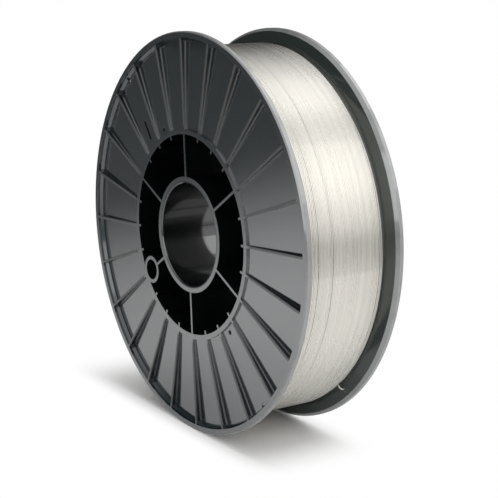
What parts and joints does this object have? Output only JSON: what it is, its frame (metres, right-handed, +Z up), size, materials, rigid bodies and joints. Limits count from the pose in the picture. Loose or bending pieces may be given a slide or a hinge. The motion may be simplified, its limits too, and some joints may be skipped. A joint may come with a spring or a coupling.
{
  "type": "mig welding wire spool",
  "caption": "Plastic wire spool with ribbed flanges, webbed hub and a full winding of bright welding wire.",
  "frame": {"origin": "centre of the spindle bore, half way across the spool's width", "axes": "+Y along the axle from the front face to the back face, +Z up, +X to the right as the front face is seen"},
  "size_m": [0.2, 0.055, 0.2],
  "materials": {
    "spool_plastic": "satin moulded, dark grey",
    "wire": "bright drawn wire, closely wound"
  },
  "bodies": {
    "root": {"spool": "spool_plastic", "wire_winding": "wire"}
  },
  "joints": []
}
